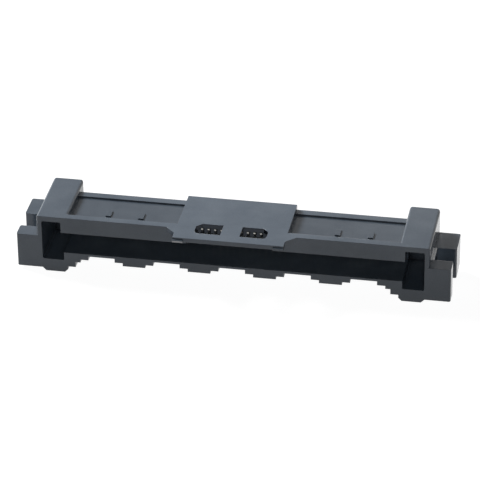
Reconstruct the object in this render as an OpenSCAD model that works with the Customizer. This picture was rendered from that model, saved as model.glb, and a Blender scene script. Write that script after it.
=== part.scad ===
// Right-angle board connector: one moulded housing, a row of blanked spring
// contacts and two solder hold-downs.
// X runs along the row, -Y is the mating side, +Z points up from the board.
// Depths are counted back from the front plane of the end towers, and heights
// up from the board. The finished part is then centred on its bottom.

/* [Contact row] */
// Number of contacts in the row
contact_count = 51; // [41:2:57]
// Distance between neighbouring contacts
pitch = 0.5; // [0.45:0.01:0.6]
// Thickness of the contact sheet
contact_t = 0.15; // [0.12:0.01:0.24]
// Clearance on each side of a contact in its channel
channel_gap = 0.02; // [0.01:0.01:0.04]
// Height of the spring beam where it leaves the web
beam_h = 0.34; // [0.25:0.01:0.45]
// Depth at which the beam's nose ends
nose_y = 1.45; // [1.2:0.05:1.6]
// Radius of the beam's nose
nose_r = 0.11; // [0.06:0.01:0.15]
// Distance from the nose back to the contact point
point_setback = 0.4; // [0.3:0.02:0.5]
// Distance over which the beam rises behind the contact point
point_run = 0.65; // [0.4:0.05:0.9]
// How far the contact point hangs below the slot's ceiling
point_drop = 0.6; // [0.3:0.05:0.8]
// Radius of the contact point
point_r = 0.08; // [0.05:0.01:0.12]
// Height of the beam over its contact point
knee_h = 0.36; // [0.25:0.02:0.45]
// Distance from the slot's rear wall to the web
web_setback = 0.1; // [0.05:0.01:0.2]
// Depth of the web that carries the beam
web_d = 0.65; // [0.5:0.05:0.8]
// Radius between the beam and the web
throat_r = 0.12; // [0.05:0.01:0.2]
// Length of the arm that holds the contact in the floor
hold_arm_len = 0.7; // [0.4:0.05:0.9]
// Height of that arm
hold_arm_h = 0.26; // [0.2:0.02:0.3]
// Height of the arm that leads back to the leg
back_arm_h = 0.5; // [0.3:0.05:0.7]
// Distance from the slot's floor down to both arms
root_drop = 0.48; // [0.44:0.02:0.6]
// Width of the leg that goes down to the board
leg_w = 0.3; // [0.2:0.01:0.4]
// Distance from the leg to the body's rear face
leg_inset = 0.12; // [0:0.02:0.2]
// Radius of the bend between the leg and the tail
tail_r = 0.12; // [0.05:0.01:0.2]
// Height of the solder tail
tail_h = 0.18; // [0.12:0.01:0.24]
// Length of the solder tail behind the rear wall
tail_len = 1.05; // [0.6:0.05:1.1]

/* [Heights] */
// Gap between the board and the underside of the body
standoff = 0.5; // [0.35:0.05:0.8]
// Body below the mating slot
floor_t = 1.2; // [1:0.05:1.6]
// Height of the mating slot
slot_h = 1.7; // [1.4:0.05:2.2]
// Body above the mating slot, up to the recessed flanks
roof_t = 0.745; // [0.7:0.005:1.1]
// Height of plate, rail and towers above the recessed flanks
rim_h = 0.555; // [0.4:0.005:0.8]
// Height of the rear strip above the recessed flanks
strip_h = 0.13; // [0.05:0.01:0.3]
// Thickness of the overhanging front lip
lip_t = 0.35; // [0.25:0.01:0.5]
// Depth of the contact grooves in the slot's ceiling
groove_h = 0.62; // [0.5:0.01:0.64]
// Free length of the grooves in front of the contacts' noses
groove_lead = 0.1; // [0.05:0.05:0.3]

/* [Depths] */
// Depth of the body from its front plane to its rear wall
body_d = 4.88; // [4.6:0.02:5.4]
// Depth of the end towers
tower_d = 6; // [5.9:0.05:6.8]
// Depth of the mating slot
slot_d = 3.3; // [3:0.05:3.5]
// Depth of the front rail
rail_d = 0.6; // [0.4:0.05:0.9]
// Depth of the rear strip
strip_d = 0.64; // [0.4:0.02:0.9]
// How far the lip reaches out in front
lip_reach = 1.44; // [1:0.02:2]
// How far the body's underside is cut back between the tabs
notch_d = 1.7; // [1.5:0.02:2.4]
// Thickness of the slot's floor in front of that
edge_t = 0.19; // [0.12:0.01:0.4]

/* [Centre plate] */
// Width of the centre plate and its lip
plate_w = 8.38; // [7.8:0.02:9.6]
// Size of the chamfer where the lip meets the rail
flare = 0.75; // [0.4:0.05:1]
// Width of the latch pocket under the lip
pocket_w = 6.8; // [6.2:0.1:7.2]
// Depth of the latch pocket behind the front plane
pocket_d = 1.75; // [1.6:0.05:2]
// Gap between the two inspection windows
window_gap = 1.46; // [1:0.02:2]
// Width of an inspection window
window_w = 2; // [1.6:0.05:2.2]
// Front edge of the inspection windows, in front of the front plane
window_front = 0.56; // [0.3:0.02:0.8]
// Rear edge of the inspection windows, behind the front plane
window_back = 0.88; // [0.6:0.02:1]
// Chamfer of each window's outer rear corner
window_chamfer = 0.42; // [0.1:0.02:0.6]
// Radius of each window's outer front corner
window_r = 0.35; // [0.05:0.05:0.4]
// Width of the nib under each end of the lip
nib_w = 0.8; // [0.5:0.05:0.85]
// How far a nib stands out in front of the lip
nib_reach = 0.14; // [0.1:0.02:0.4]
// Height of a nib
nib_h = 0.2; // [0.08:0.01:0.24]

/* [Floor tabs] */
// Contacts from one tab to the next
tab_every = 10; // [8:1:12]
// Width of a tab
tab_w = 2.97; // [2.4:0.01:3.4]
// Thickness of a tab
tab_t = 0.52; // [0.3:0.02:0.6]
// Width of the rib under a tab
rib_w = 1.73; // [1.2:0.01:2.2]
// Height of the rib under a tab
rib_t = 0.25; // [0.1:0.01:0.4]

/* [End towers] */
// Distance from the last contact to the end of the slot
end_margin = 0.4; // [0.35:0.05:0.8]
// Width of the guide window in each tower
guide_w = 1.65; // [1.3:0.05:2]
// Depth of the guide window
guide_d = 4.5; // [4:0.1:5.2]
// How far the guide window's upper part is drawn in
guide_step = 0.18; // [0.1:0.01:0.3]
// How far the guide window reaches below the slot's floor
guide_drop = 0.66; // [0.4:0.02:0.9]
// Thickness over the guide window
guide_roof = 0.42; // [0.3:0.02:0.6]
// Outer wall of the tower
tower_wall = 0.4; // [0.2:0.01:0.5]
// How far the tower's inner face stands inside the slot's end
tower_inset = 0.28; // [0.1:0.01:0.3]
// Radius of the tower's outer rear corner
tower_r = 0.3; // [0.1:0.05:0.6]
// Radius along the tower's top and its other upright edges
tower_edge_r = 0.2; // [0.05:0.05:0.3]
// Radius in the corners of the guide window
guide_r = 0.1; // [0.04:0.02:0.14]
// Width of the foot under each tower
foot_w = 1.95; // [1.4:0.05:2]
// Chamfer along the foot
foot_chamfer = 0.25; // [0.1:0.01:0.3]
// Width of the step between the foot and the last tab
step_w = 0.6; // [0.4:0.05:0.8]

/* [Ears and hold-downs] */
// How far the ears reach beyond the tower
ear_w = 1.64; // [1.4:0.02:2.2]
// Height of the ears' top above the board
ear_top = 3.01; // [2.6:0.05:3.4]
// Gap between the board and the front ear
ear_lift = 0.27; // [0.24:0.01:0.5]
// Depth of the front ear
ear_front_d = 1.3; // [1.1:0.05:1.5]
// Gap between the front and the rear ear
ear_gap = 1.8; // [1.5:0.05:2.1]
// Depth of the rear ear
ear_rear_d = 2.33; // [1.8:0.05:2.5]
// How far the front ear's outer face stands inside the rear one's
ear_step = 0.06; // [0.02:0.01:0.2]
// Radius of the ears' outer upright edges
ear_r = 0.15; // [0.05:0.05:0.3]
// Thickness of the hold-down sheet
hold_t = 0.15; // [0.12:0.01:0.22]
// How far the hold-down's barbs reach into each ear
barb = 0.25; // [0.15:0.05:0.4]
// Height of the barbs above the board
barb_top = 2.2; // [1.8:0.05:2.4]
// Length of the hold-down's foot
hold_foot = 1.25; // [0.9:0.05:1.4]
// Clearance between a hold-down and the ears
hold_gap = 0.03; // [0.02:0.01:0.05]

/* [Flank pads] */
// Width of a raised pad on the flanks
pad_w = 0.4; // [0.3:0.05:0.6]
// Depth of a raised pad
pad_d = 0.85; // [0.5:0.05:1.2]
// Height of a raised pad
pad_h = 0.1; // [0.05:0.01:0.15]
// Front edge of the pads
pad_y = 1.65; // [1.2:0.05:2.2]
// Distance from the end of the row to the outer pad, and on to the inner one
pad_space = 2.5; // [2:0.1:2.7]

/* [Hidden] */
small = 0.01;
over = 0.5;
arc_fn = 32;

// Heights above the board
slot_z = standoff + floor_t;
ceiling_z = slot_z + slot_h;
flank_z = ceiling_z + roof_t;
top_z = flank_z + rim_h;
lip_z = top_z - lip_t;
tab_z = slot_z - tab_t;
rib_z = tab_z - rib_t;
groove_z = ceiling_z + groove_h;
root_z = slot_z - root_drop;
sill_z = slot_z - guide_drop;
guide_z = top_z - guide_roof;

// Widths from the middle
row_half = (contact_count - 1) * pitch / 2;
slot_half = row_half + end_margin;
inner_half = slot_half - tower_inset;
guide_half = slot_half + guide_w;
tower_half = guide_half + tower_wall;
ear_half = tower_half + ear_w;

// Depths
nib_y = -lip_reach - nib_reach;
ear_rear_y = ear_front_d + ear_gap;
leg_back = body_d - leg_inset;
leg_front = leg_back - leg_w;
hold_y = slot_d - hold_arm_len;
middle_y = (nib_y + tower_d) / 2;

// Tabs sit between every tab_every contacts, on both sides of the middle
tab_pitch = tab_every * pitch;
tab_x = [for (i = [0 : 20]) if ((i + 0.5) * tab_pitch <= row_half + small) (i + 0.5) * tab_pitch];
pad_x = [for (side = [-1, 1], step = [1, 2]) side * (row_half - step * pad_space) + pitch / 2];

function two_digits(i) = i < 10 ? str("0", i) : str(i);
function contact_name(i) = str("contact_", two_digits(i));
function arc(y, z, r, from, to, steps) =
    [for (i = [0 : steps]) let (a = from + (to - from) * i / steps) [y + r * cos(a), z + r * sin(a)]];

// Stands a side view, drawn as [depth, height], up and spreads it along X.
module along_x(from, to) {
    translate([from, 0, 0])
        rotate([90, 0, 90])
            linear_extrude(height = to - from)
                children();
}

// The piece between a square corner and the quarter circle that rounds it.
module corner(r) {
    difference() {
        square(r + small);
        circle(r = r, $fn = arc_fn);
    }
}

// A rectangle between two points. The radii start at its first point and go round by way of +X.
module rounded(from, to, radii) {
    difference() {
        translate(from) square(to - from);
        for (i = [0 : 3])
            if (radii[i] > 0)
                translate([i == 0 || i == 3 ? from[0] + radii[i] : to[0] - radii[i],
                           i < 2 ? from[1] + radii[i] : to[1] - radii[i]])
                    rotate(180 + 90 * i) corner(radii[i]);
    }
}

// Draws its children on both ends of the row.
module both_ends() {
    children();
    mirror([1, 0, 0]) children();
}

module centred() {
    translate([0, -middle_y, 0]) children();
}

// The body between the towers in side view: floor, rear wall and roof.
module body_section() {
    polygon([
        [0, slot_z - edge_t], [notch_d, slot_z - edge_t],
        [notch_d, standoff], [body_d, standoff],
        [body_d, flank_z + strip_h], [body_d - strip_d, flank_z + strip_h],
        [body_d - strip_d, flank_z], [rail_d, flank_z],
        [rail_d, top_z], [0, top_z],
        [0, ceiling_z], [slot_d, ceiling_z],
        [slot_d, slot_z], [0, slot_z]
    ]);
}

module floor_tabs() {
    for (side = [-1, 1], x = tab_x) {
        along_x(side * x - tab_w / 2, side * x + tab_w / 2)
            translate([0, tab_z]) square([notch_d + small, tab_t]);
        along_x(side * x - rib_w / 2, side * x + rib_w / 2)
            translate([0, rib_z]) square([notch_d + small, rib_t + small]);
    }
}

// Plate and lip in plan, with the flare that widens it to the rail.
module plate_outline() {
    half = plate_w / 2;
    polygon([
        [-half, body_d], [-half, rail_d], [-half - flare, rail_d], [-half - flare, 0],
        [-half, -flare], [-half, -lip_reach], [half, -lip_reach], [half, -flare],
        [half + flare, 0], [half + flare, rail_d], [half, rail_d], [half, body_d]
    ]);
}

module plate() {
    translate([0, 0, lip_z]) linear_extrude(height = lip_t) plate_outline();
    along_x(-plate_w / 2, plate_w / 2)
        translate([0, ceiling_z]) square([body_d, top_z - ceiling_z]);
    both_ends()
        translate([plate_w / 2 - nib_w, nib_y, lip_z])
            cube([nib_w, nib_reach + small, nib_h]);
}

// An inspection window in plan, on the +X side.
module window_outline() {
    inner = window_gap / 2;
    outer = inner + window_w;
    union() {
        polygon([
            [inner, -window_front], [outer - window_r, -window_front],
            [outer, -window_front + window_r], [outer, window_back - window_chamfer],
            [outer - window_chamfer, window_back], [inner, window_back]
        ]);
        translate([outer - window_r, -window_front + window_r]) circle(r = window_r, $fn = arc_fn);
    }
}

// The guide window of the +X tower in front view, drawn as [x, height].
module guide_outline() {
    upper = slot_half + guide_step;
    rounded([slot_half, sill_z], [upper + small, ceiling_z], [guide_r, 0, 0, 0]);
    rounded([upper, sill_z], [guide_half, guide_z], [0, guide_r, guide_r, guide_r]);
}

// The +X tower in plan and in front view.
module tower_outline() {
    rounded([inner_half, 0], [tower_half, tower_d], [0, tower_edge_r, tower_r, tower_edge_r]);
}

module tower_front() {
    rounded([inner_half, standoff], [tower_half, top_z], [0, 0, tower_edge_r, tower_edge_r]);
}

// A foot with chamfered lower edges in front view, drawn as [x, height].
module foot_outline() {
    polygon([
        [inner_half, standoff], [inner_half, foot_chamfer], [inner_half + foot_chamfer, 0],
        [inner_half + foot_w - foot_chamfer, 0], [inner_half + foot_w, foot_chamfer],
        [inner_half + foot_w, standoff]
    ]);
}

module tower() {
    intersection() {
        linear_extrude(height = top_z + over) tower_outline();
        translate([0, tower_d + over, 0])
            rotate([90, 0, 0])
                linear_extrude(height = tower_d + 2 * over) tower_front();
    }
    translate([0, tower_d - tower_r, 0])
        rotate([90, 0, 0])
            linear_extrude(height = tower_d - tower_r) foot_outline();
    // Step down beside the foot, and the wall that closes the slot's floor
    along_x(inner_half - step_w, inner_half + small)
        translate([0, standoff]) square([notch_d + small, slot_z - standoff]);
    ears();
}

module ears() {
    inside = tower_half - small;
    foot_outer = inner_half + foot_w - small;
    translate([0, 0, ear_lift])
        linear_extrude(height = ear_top - ear_lift)
            rounded([foot_outer, 0], [ear_half - ear_step, ear_front_d], [0, ear_r, ear_r, 0]);
    translate([0, 0, standoff])
        linear_extrude(height = ear_top - standoff)
            rounded([inside, ear_rear_y], [ear_half, ear_rear_y + ear_rear_d], [0, ear_r, ear_r, 0]);
}

// Side view of a contact's channel: ceiling groove, rear slot and holding pocket.
module channel_section() {
    polygon([
        [nose_y - groove_lead, ceiling_z - small], [nose_y - groove_lead, groove_z],
        [body_d + over, groove_z], [body_d + over, standoff - over],
        [leg_front - channel_gap, standoff - over], [leg_front - channel_gap, root_z],
        [hold_y - channel_gap, root_z], [hold_y - channel_gap, root_z + hold_arm_h],
        [slot_d - small, root_z + hold_arm_h], [slot_d - small, ceiling_z - small]
    ]);
}

module channels() {
    half = contact_t / 2 + channel_gap;
    for (i = [1 : contact_count])
        along_x(contact_x(i) - half, contact_x(i) + half) channel_section();
}

function contact_x(i) = (i - 1) * pitch - row_half;

// Slot in each ear that takes a hold-down's barbs from below.
module barb_slots() {
    translate([tower_half - small, ear_front_d - barb - hold_gap, -over])
        cube([hold_t + hold_gap + small, ear_gap + 2 * barb + 2 * hold_gap, barb_top + hold_gap + over]);
}

module housing() {
    color("darkslategray")
        centred()
            difference() {
                union() {
                    along_x(-inner_half - tower_edge_r, inner_half + tower_edge_r) body_section();
                    floor_tabs();
                    plate();
                    both_ends() tower();
                    for (x = pad_x)
                        translate([x - pad_w / 2, pad_y, flank_z - small])
                            cube([pad_w, pad_d, pad_h + small]);
                }
                // Mating slot, carried on into the guide windows
                along_x(-slot_half, slot_half)
                    translate([-over, slot_z]) square([slot_d + over, slot_h]);
                both_ends() {
                    translate([0, guide_d, 0])
                        rotate([90, 0, 0])
                            linear_extrude(height = guide_d + over) guide_outline();
                    barb_slots();
                    translate([0, 0, lip_z - over])
                        linear_extrude(height = lip_t + 2 * over) window_outline();
                }
                // Latch pocket under the lip
                along_x(-pocket_w / 2, pocket_w / 2)
                    translate([-lip_reach - over, ceiling_z - small])
                        square([lip_reach + over + pocket_d, lip_z - ceiling_z + small]);
                channels();
            }
}

// A contact in side view: a spring beam on a web, a holding arm, a leg and a tail.
module contact_section() {
    top = groove_z - channel_gap;
    web_front = slot_d + web_setback;
    web_back = web_front + web_d;
    point_y = nose_y + point_setback;
    point_z = ceiling_z - point_drop + point_r;
    rise_y = point_y + point_run;
    polygon(concat(
        [[leg_front, 0], [leg_back + tail_len, 0], [leg_back + tail_len, tail_h]],
        arc(leg_back + tail_r, tail_h + tail_r, -tail_r, 90, 0, 4),
        [[leg_back, root_z + back_arm_h], [web_back, root_z + back_arm_h]],
        [[web_back, top], [rise_y, top]],
        [[point_y, point_z - point_r + knee_h]],
        arc(nose_y + nose_r, top - nose_r, nose_r, 45, 200, 6),
        arc(point_y, point_z, point_r, 215, 300, 4),
        [[rise_y, top - beam_h]],
        arc(web_front - throat_r, top - beam_h - throat_r, throat_r, 90, 0, 5),
        [[web_front, root_z + hold_arm_h], [hold_y, root_z + hold_arm_h]],
        [[hold_y, root_z], [leg_front, root_z]]
    ));
}

module contact(i) {
    color("goldenrod")
        centred()
            along_x(contact_x(i) - contact_t / 2, contact_x(i) + contact_t / 2)
                contact_section();
}

// The +X hold-down: an upright plate with barbs and a foot bent out on the board.
module hold_down() {
    from = ear_front_d + hold_gap;
    width = ear_gap - 2 * hold_gap;
    inside = tower_half;
    bend = hold_t;
    translate([inside, from, bend]) cube([hold_t, width, ear_top - bend]);
    translate([inside, ear_front_d - barb, ear_lift + barb])
        cube([hold_t, ear_gap + 2 * barb, barb_top - ear_lift - barb]);
    translate([inside + bend, from, 0]) cube([hold_foot - bend, width, hold_t]);
    translate([inside + bend, from + width, bend])
        rotate([90, 0, 0])
            linear_extrude(height = width)
                intersection() {
                    circle(r = bend, $fn = arc_fn);
                    translate([-bend, -bend]) square(bend);
                }
}

module hold_down_right() {
    color("silver") centred() hold_down();
}

module hold_down_left() {
    color("silver") centred() mirror([1, 0, 0]) hold_down();
}

housing();
hold_down_left();
hold_down_right();
for (i = [1 : contact_count])
    contact(i);
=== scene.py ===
import math

import bpy
from mathutils import Matrix, Vector

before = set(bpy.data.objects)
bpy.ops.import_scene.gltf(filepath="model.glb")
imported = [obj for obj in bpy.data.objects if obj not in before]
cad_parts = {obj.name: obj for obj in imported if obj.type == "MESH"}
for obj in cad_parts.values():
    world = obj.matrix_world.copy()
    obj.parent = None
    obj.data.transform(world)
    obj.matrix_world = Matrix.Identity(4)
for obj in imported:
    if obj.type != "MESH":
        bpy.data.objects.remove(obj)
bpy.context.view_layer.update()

MM = 0.001

# The camera, in degrees and millimetres: it stands right of the front and looks down.
# Its clipping distances are in metres
CAMERA_AZIMUTH = 10.71
CAMERA_ELEVATION = 30.40
CAMERA_ROLL = 0.65
CAMERA_DISTANCE = 234.9
CAMERA_LENS = 236.5
CAMERA_SENSOR = 36
CAMERA_AIM = Vector((0.70, -2.37, 4.19))
CAMERA_CLIP = 0.01, 10

# The lamps: azimuth (from straight behind the part, towards its left end), elevation,
# size in millimetres and level
LAMP_DISTANCE = 220
LAMPS = {
    "key": (62, 38, 72, 0.76),
    "rim": (-4, 12, 120, 0.12),
    "fill": (-170, 28, 82, 0.10),
}

# The room: a low white backdrop, which fades into a dimmer room between these elevations.
# It shows and is mirrored, but gives no light of its own
BACKDROP_FADE = 8, 20
ROOM_LEVEL = 0.6
AMBIENT = 0.0

# The floor, in metres. It lies 0.01 mm below the part's feet, so that no two faces coincide
FLOOR_SIZE = 3
FLOOR_DROP = 0.01 * MM
FLOOR_TONE = 0.35
FLOOR_GLOW = 0.95

# Noise keeps mostly between these values
NOISE_MIDDLE = 0.3, 0.7

# The plastic. Colours are linear, noise is given as features per millimetre and detail,
# and depths, radii and places are in millimetres
PLASTIC_TONES = (0.108, 0.140, 0.182), (0.152, 0.188, 0.232)
PLASTIC_CLOUDS = 0.35, 4
PLASTIC_SPECKLE = 14, 2
SPECKLE_TONE = 0.93, 1.07
PLASTIC_FLOW = 0.9, 3, (0.35, 1, 1)
PLASTIC_ROUGHNESS = 0.13, 0.21
PLASTIC_IOR = 1.45
PLASTIC_GRAIN = 18, 2
GRAIN_DEPTH = 0.0015
PLASTIC_EDGE = 0.035

# Faces that stand proud at the top: their heights, how far they face up, and how much painted
# light lightens them, from the middle to the end towers, over these distances from the middle
RAISED_HEIGHT = 4.25, 4.27
RAISED_FACING = 0.6, 0.9
TOP_PAINTED_LIGHT_GAIN = 0.45, 0.18
TOP_PAINTED_LIGHT_SPAN = 4.2, 12.6

# Recesses: how far other faces count, from closed to open, and their painted shade and roughness
AIR_REACH = 0.8
AIR_SAMPLES = 12
AIR_RANGE = 0.35, 0.8
RECESS_PAINTED_SHADE = 0.25, 1
RECESS_ROUGHNESS = 0.4, 0

# Two places with painted light, each the middle and half size of a box: the front of the left
# nib under the lip, with a pale painted glint, and what shows in the windows, with painted shade
LEFT_NIB_GLINT_BOX = (-3.79, -3.79, 4.37), (0.42, 0.05, 0.10)
NIB_PAINTED_GLINT = (0.50, 0.52, 0.54)
NIB_GLINT_METALLIC = 0.15
WINDOW_SHADE_BOX = (0, -1.70, 3.995), (3.45, 1.30, 0.695)
WINDOW_PAINTED_SHADE = (0.016, 0.021, 0.030)
WINDOW_SHADE_METALLIC = 0.55

# The metals: the contacts' pale plating, with fine marks across the sheared edges, and the
# hold-downs' bright tin, with faint rolling marks along the part's depth
METALS = {
    "plated_contact": {
        "tones": ((0.36, 0.355, 0.33), (0.50, 0.49, 0.46)), "clouds": (3, 3),
        "marks": (20, 2, (0.1, 1, 1)), "roughness": (0.14, 0.24), "depth": 0.002, "edge": 0.02,
    },
    "tinned_sheet": {
        "tones": ((0.50, 0.50, 0.50), (0.60, 0.60, 0.59)), "clouds": (2, 3),
        "marks": (16, 3, (1, 0.08, 1)), "roughness": (0.08, 0.14), "depth": 0.0006, "edge": 0.03,
    },
}
EDGE_SAMPLES = 6


def material(name):
    """A new node material: returns it, its node tree and its Principled shader."""
    made = bpy.data.materials.new(name)
    made.use_nodes = True
    tree = made.node_tree
    return made, tree, tree.nodes["Principled BSDF"]


def noise(tree, scale, detail, stretch=(1, 1, 1)):
    """Noise in object space. scale is features per millimetre."""
    place = tree.nodes.new("ShaderNodeTexCoord")
    mapping = tree.nodes.new("ShaderNodeMapping")
    mapping.inputs["Scale"].default_value = [s / MM for s in stretch]
    texture = tree.nodes.new("ShaderNodeTexNoise")
    texture.inputs["Scale"].default_value = scale
    texture.inputs["Detail"].default_value = detail
    tree.links.new(place.outputs["Object"], mapping.inputs["Vector"])
    tree.links.new(mapping.outputs["Vector"], texture.inputs["Vector"])
    return texture.outputs["Fac"]


def spread(tree, value, to, start_end=NOISE_MIDDLE):
    """Spreads a value between a start and an end over another range, and holds it there."""
    node = tree.nodes.new("ShaderNodeMapRange")
    node.inputs["From Min"].default_value, node.inputs["From Max"].default_value = start_end
    node.inputs["To Min"].default_value, node.inputs["To Max"].default_value = to
    tree.links.new(value, node.inputs["Value"])
    return node.outputs["Result"]


def clouds(tree, pattern, tones):
    """Soft patches between two colours."""
    node = tree.nodes.new("ShaderNodeMix")
    node.data_type = "RGBA"
    node.inputs["A"].default_value, node.inputs["B"].default_value = ((*t, 1) for t in tones)
    tree.links.new(spread(tree, noise(tree, *pattern), (0, 1)), node.inputs["Factor"])
    return node.outputs["Result"]


def recoloured(tree, colour, where, other):
    """A colour that turns into a plain other one where a value is 1."""
    node = tree.nodes.new("ShaderNodeMix")
    node.data_type = "RGBA"
    node.inputs["B"].default_value = (*other, 1)
    tree.links.new(colour, node.inputs["A"])
    tree.links.new(where, node.inputs["Factor"])
    return node.outputs["Result"]


def shade_by(tree, colour, value):
    """A colour multiplied by a value."""
    node = tree.nodes.new("ShaderNodeVectorMath")
    node.operation = "SCALE"
    tree.links.new(colour, node.inputs[0])
    tree.links.new(value, node.inputs["Scale"])
    return node.outputs["Vector"]


def bump(tree, height, depth, normal):
    """Relief of the given depth in millimetres over a normal."""
    node = tree.nodes.new("ShaderNodeBump")
    node.inputs["Strength"].default_value = 1
    node.inputs["Distance"].default_value = depth * MM
    tree.links.new(height, node.inputs["Height"])
    tree.links.new(normal, node.inputs["Normal"])
    return node.outputs["Normal"]


def combine(tree, operation, first, second):
    """Two values joined by a math operation."""
    node = tree.nodes.new("ShaderNodeMath")
    node.operation = operation
    tree.links.new(first, node.inputs[0])
    tree.links.new(second, node.inputs[1])
    return node.outputs[0]


def part_of(tree, vector, axis):
    """One axis of a vector."""
    node = tree.nodes.new("ShaderNodeSeparateXYZ")
    tree.links.new(vector, node.inputs["Vector"])
    return node.outputs[axis]


def raised(tree):
    """1 on upward faces that stand proud at the top, which get painted light."""
    place = tree.nodes.new("ShaderNodeTexCoord").outputs["Object"]
    high = spread(tree, part_of(tree, place, "Z"), (0, 1), [z * MM for z in RAISED_HEIGHT])
    facing = tree.nodes.new("ShaderNodeNewGeometry").outputs["True Normal"]
    upward = spread(tree, part_of(tree, facing, "Z"), (0, 1), RAISED_FACING)
    return combine(tree, "MULTIPLY", high, upward)


def painted_top_light_strength(tree):
    """How much painted light the top gets: most on the centre plate, least on the end towers."""
    place = tree.nodes.new("ShaderNodeTexCoord").outputs["Object"]
    aside = tree.nodes.new("ShaderNodeMath")
    aside.operation = "ABSOLUTE"
    tree.links.new(part_of(tree, place, "X"), aside.inputs[0])
    return spread(tree, aside.outputs[0], TOP_PAINTED_LIGHT_GAIN, [x * MM for x in TOP_PAINTED_LIGHT_SPAN])


def inside(tree, middle, half):
    """1 inside a box in object space, given in millimetres."""
    place = tree.nodes.new("ShaderNodeTexCoord").outputs["Object"]
    between = []
    for axis, centre, reach in zip("XYZ", middle, half):
        node = tree.nodes.new("ShaderNodeMath")
        node.operation = "COMPARE"
        tree.links.new(part_of(tree, place, axis), node.inputs[0])
        node.inputs[1].default_value = centre * MM
        node.inputs[2].default_value = reach * MM
        between.append(node.outputs[0])
    return combine(tree, "MULTIPLY", combine(tree, "MULTIPLY", *between[:2]), between[2])


def openness(tree):
    """1 on open faces, falling towards 0 in channels, windows and corners."""
    node = tree.nodes.new("ShaderNodeAmbientOcclusion")
    node.samples = AIR_SAMPLES
    node.only_local = True
    node.inputs["Distance"].default_value = AIR_REACH * MM
    return node.outputs["AO"]


def rounded_edges(tree, radius):
    """A normal that rounds the edges by a radius in millimetres."""
    node = tree.nodes.new("ShaderNodeBevel")
    node.samples = EDGE_SAMPLES
    node.inputs["Radius"].default_value = radius * MM
    return node.outputs["Normal"]


def moulded_plastic():
    """Fine matt mould texture over faint flow marks, with painted light on the raised top and
    painted shade in the recesses, which are rougher too.
    """
    made, tree, shader = material("moulded_plastic")
    air = openness(tree)
    nib = inside(tree, *LEFT_NIB_GLINT_BOX)
    windows = inside(tree, *WINDOW_SHADE_BOX)

    speckle = spread(tree, noise(tree, *PLASTIC_SPECKLE), SPECKLE_TONE)
    # Painted light: upward faces that stand proud are made lighter, most towards the middle.
    painted_top_light = spread(tree, combine(tree, "MULTIPLY", raised(tree), painted_top_light_strength(tree)), (1, 2), (0, 1))
    shade = combine(tree, "MULTIPLY", speckle, painted_top_light)
    # Painted shade: the colour darkens in recesses, channels and corners.
    shade = combine(tree, "MULTIPLY", shade, spread(tree, air, RECESS_PAINTED_SHADE, AIR_RANGE))
    tone = shade_by(tree, clouds(tree, PLASTIC_CLOUDS, PLASTIC_TONES), shade)
    # Painted shade: what shows in the windows is made nearly black and partly metallic.
    tone = recoloured(tree, tone, windows, WINDOW_PAINTED_SHADE)
    # Painted glint: the front of the left nib is made pale and slightly metallic.
    tone = recoloured(tree, tone, nib, NIB_PAINTED_GLINT)
    tree.links.new(tone, shader.inputs["Base Color"])

    painted_light_metallic = combine(tree, "ADD", spread(tree, nib, (0, NIB_GLINT_METALLIC), (0, 1)),
                    spread(tree, windows, (0, WINDOW_SHADE_METALLIC), (0, 1)))
    tree.links.new(painted_light_metallic, shader.inputs["Metallic"])

    flow = spread(tree, noise(tree, *PLASTIC_FLOW), PLASTIC_ROUGHNESS)
    dulled = combine(tree, "ADD", flow, spread(tree, air, RECESS_ROUGHNESS, AIR_RANGE))
    tree.links.new(dulled, shader.inputs["Roughness"])
    shader.inputs["IOR"].default_value = PLASTIC_IOR

    edges = rounded_edges(tree, PLASTIC_EDGE)
    grain = bump(tree, noise(tree, *PLASTIC_GRAIN), GRAIN_DEPTH, edges)
    tree.links.new(grain, shader.inputs["Normal"])
    return made


def sheet_metal(name):
    """Blanked and plated sheet, with fine marks in one direction."""
    finish = METALS[name]
    made, tree, shader = material(name)
    tree.links.new(clouds(tree, finish["clouds"], finish["tones"]), shader.inputs["Base Color"])
    shader.inputs["Metallic"].default_value = 1
    marks = noise(tree, *finish["marks"])
    tree.links.new(spread(tree, marks, finish["roughness"]), shader.inputs["Roughness"])
    relief = bump(tree, marks, finish["depth"], rounded_edges(tree, finish["edge"]))
    tree.links.new(relief, shader.inputs["Normal"])
    return made


def dress_all():
    """Gives every CAD node its material."""
    plastic = moulded_plastic()
    plating = sheet_metal("plated_contact")
    tin = sheet_metal("tinned_sheet")
    for node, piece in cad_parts.items():
        piece.data.materials.clear()
        if node == "housing":
            piece.data.materials.append(plastic)
        elif node.startswith("contact_"):
            piece.data.materials.append(plating)
        else:
            piece.data.materials.append(tin)


def seen_or_mirrored(tree):
    """1 for rays that come from the camera, a reflection or a transmission."""
    path = tree.nodes.new("ShaderNodeLightPath").outputs
    seen = combine(tree, "MAXIMUM", path["Is Camera Ray"], path["Is Glossy Ray"])
    return combine(tree, "MAXIMUM", seen, path["Is Transmission Ray"])


def mix_where_seen(tree, other, seen, output):
    """Gives an output one shader where it is seen or mirrored, and another one elsewhere."""
    mix = tree.nodes.new("ShaderNodeMixShader")
    tree.links.new(seen_or_mirrored(tree), mix.inputs["Fac"])
    tree.links.new(other, mix.inputs[1])
    tree.links.new(seen, mix.inputs[2])
    tree.links.new(mix.outputs[0], tree.nodes[output].inputs["Surface"])


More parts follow.
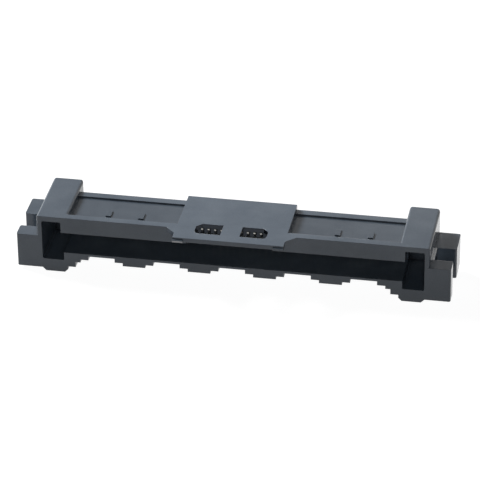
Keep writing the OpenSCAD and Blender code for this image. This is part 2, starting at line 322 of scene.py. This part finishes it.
def studio_world():
    """A low white backdrop under a dimmer room, where it is seen or mirrored."""
    world = bpy.data.worlds.new("studio")
    bpy.context.scene.world = world
    world.use_nodes = True
    tree = world.node_tree
    plain = tree.nodes["Background"]
    plain.inputs["Color"].default_value = (AMBIENT, AMBIENT, AMBIENT, 1)
    room = tree.nodes.new("ShaderNodeBackground")
    room.inputs["Color"].default_value = (1, 1, 1, 1)
    direction = tree.nodes.new("ShaderNodeTexCoord").outputs["Generated"]
    heights = [math.sin(math.radians(elevation)) for elevation in BACKDROP_FADE]
    level = spread(tree, part_of(tree, direction, "Z"), (1, ROOM_LEVEL), heights)
    tree.links.new(level, room.inputs["Strength"])
    mix_where_seen(tree, plain.outputs[0], room.outputs[0], "World Output")


def pale_floor():
    """A white table: it glows where it is seen or mirrored, and keeps a faint shadow."""
    bpy.ops.mesh.primitive_plane_add(size=FLOOR_SIZE, location=(0, 0, -FLOOR_DROP))
    floor = bpy.context.object
    floor.name = "floor"
    made, tree, shader = material("pale_floor")
    tree.nodes.remove(shader)
    matt = tree.nodes.new("ShaderNodeBsdfDiffuse")
    matt.inputs["Color"].default_value = (FLOOR_TONE, FLOOR_TONE, FLOOR_TONE, 1)
    glow = tree.nodes.new("ShaderNodeEmission")
    glow.inputs["Strength"].default_value = FLOOR_GLOW
    both = tree.nodes.new("ShaderNodeAddShader")
    tree.links.new(matt.outputs[0], both.inputs[0])
    tree.links.new(glow.outputs[0], both.inputs[1])
    mix_where_seen(tree, matt.outputs[0], both.outputs[0], "Material Output")
    floor.data.materials.append(made)


def lamp(name, azimuth, elevation, size, level):
    """A square area lamp aimed at the part. level is the light on a face turned towards it."""
    a, e = math.radians(azimuth), math.radians(elevation)
    place = Vector((-math.sin(a) * math.cos(e), math.cos(a) * math.cos(e), math.sin(e)))
    data = bpy.data.lights.new(name, "AREA")
    data.shape = "SQUARE"
    data.size = size * MM
    data.energy = level * math.pi ** 2 * (LAMP_DISTANCE * MM) ** 2
    made = bpy.data.objects.new(name, data)
    made.location = place * LAMP_DISTANCE * MM
    made.rotation_euler = place.to_track_quat("Z", "Y").to_euler()
    bpy.context.scene.collection.objects.link(made)


def photo_camera():
    """The camera that fits the photograph's view, by its own right, up and back directions."""
    a, e = math.radians(CAMERA_AZIMUTH), math.radians(CAMERA_ELEVATION)
    back = Vector((math.sin(a) * math.cos(e), -math.cos(a) * math.cos(e), math.sin(e)))
    level = Vector((math.cos(a), math.sin(a), 0))
    right = Matrix.Rotation(math.radians(-CAMERA_ROLL), 3, back) @ level
    turn = Matrix((right, back.cross(right), back)).transposed()
    data = bpy.data.cameras.new("camera")
    data.sensor_width = CAMERA_SENSOR
    data.lens = CAMERA_LENS
    data.clip_start, data.clip_end = CAMERA_CLIP
    camera = bpy.data.objects.new("camera", data)
    place = (CAMERA_AIM + back * CAMERA_DISTANCE) * MM
    camera.matrix_world = Matrix.Translation(place) @ turn.to_4x4()
    bpy.context.scene.collection.objects.link(camera)
    bpy.context.scene.camera = camera


dress_all()
studio_world()
pale_floor()
for lamp_name, setting in LAMPS.items():
    lamp(lamp_name, *setting)
photo_camera()
bpy.context.scene.view_settings.view_transform = "Standard"
